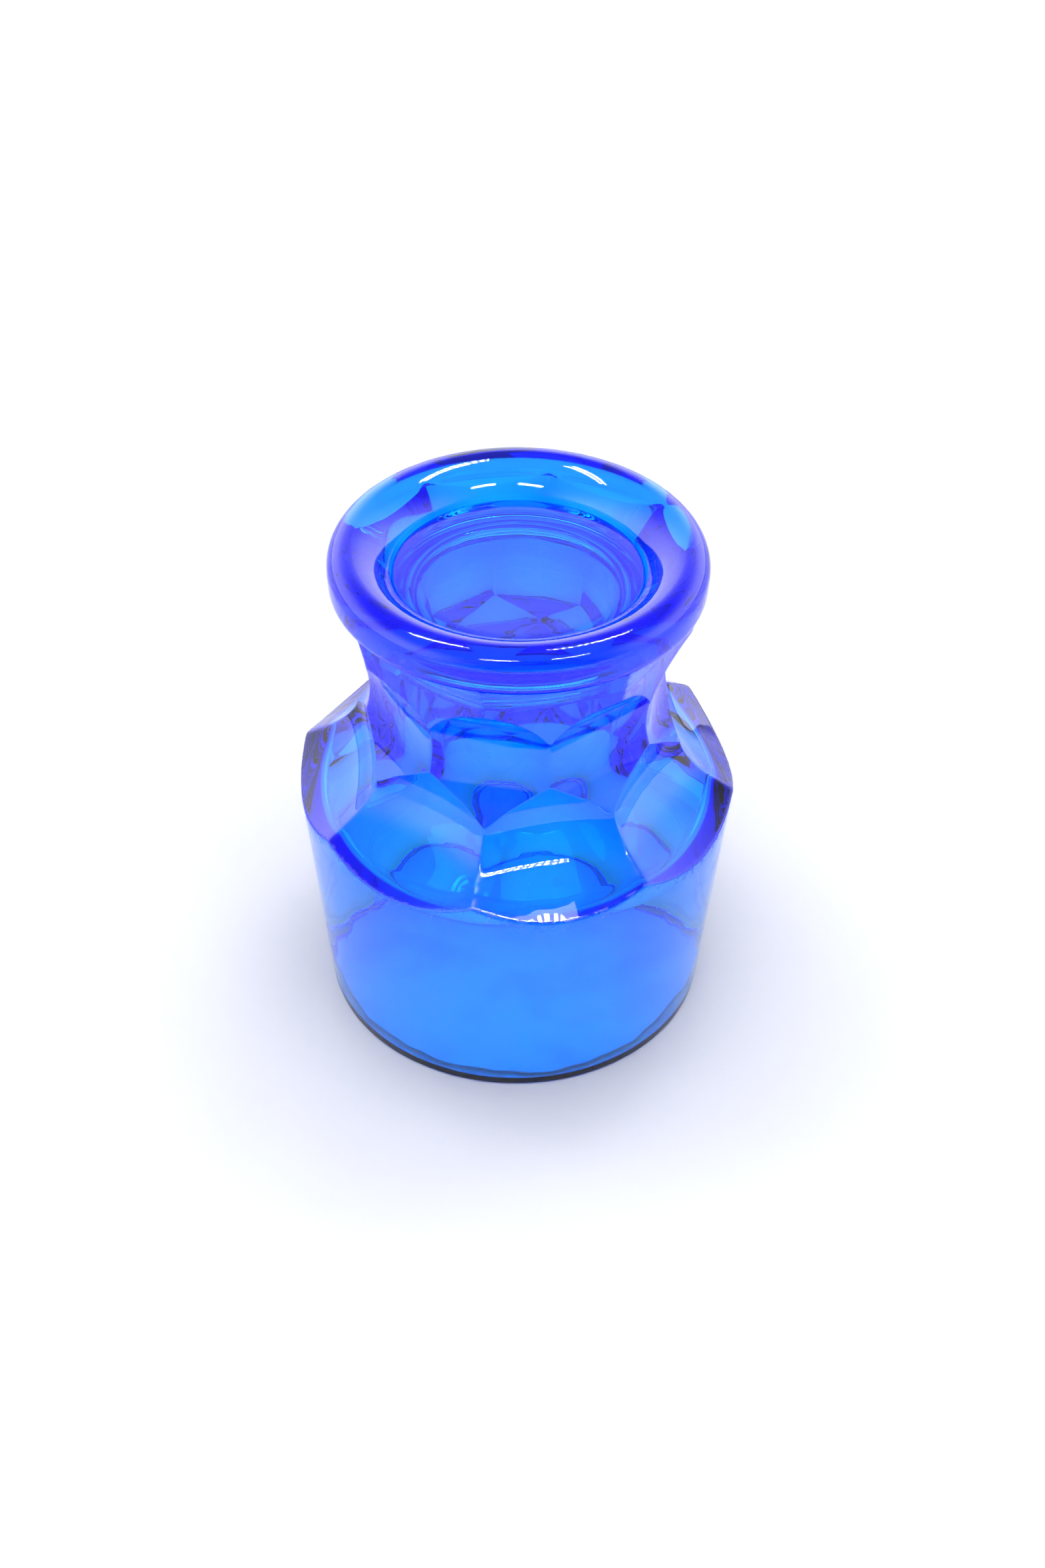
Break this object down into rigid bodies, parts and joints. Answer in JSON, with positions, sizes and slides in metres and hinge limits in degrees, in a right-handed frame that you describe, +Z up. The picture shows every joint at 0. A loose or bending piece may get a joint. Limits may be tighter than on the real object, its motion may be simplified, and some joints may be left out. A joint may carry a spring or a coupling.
{
  "type": "ink bottle",
  "caption": "Squat cobalt glass ink bottle with eight flutes, a faceted waist and a broad round mouth disc, closed by a sunk glass lid that lifts straight out.",
  "frame": {"origin": "centre of the flat base, where the bottle stands on the table", "axes": "+Z up along the bottle's axis; -Y towards the middle of one flute"},
  "size_m": [0.0576, 0.0576, 0.07],
  "materials": {
    "cobalt_glass": "clear pressed cobalt glass, glossy, thick parts deep violet blue",
    "lid_glass": "clear pressed cobalt glass, glossy",
    "clear_seal": "clear soft ring, slightly cloudy",
    "blue_ink": "thin drying film of blue ink with a dark edge"
  },
  "bodies": {
    "bottle": {"bottle_body": "cobalt_glass", "ink_film": "blue_ink"},
    "lid": {"sunk_lid": "lid_glass", "lid_seal": "clear_seal"}
  },
  "joints": [
    {"name": "lid_lift", "type": "slide", "parent": "bottle", "child": "lid", "axis": [0, 0, 1], "range_m": [0, 0.02]}
  ]
}
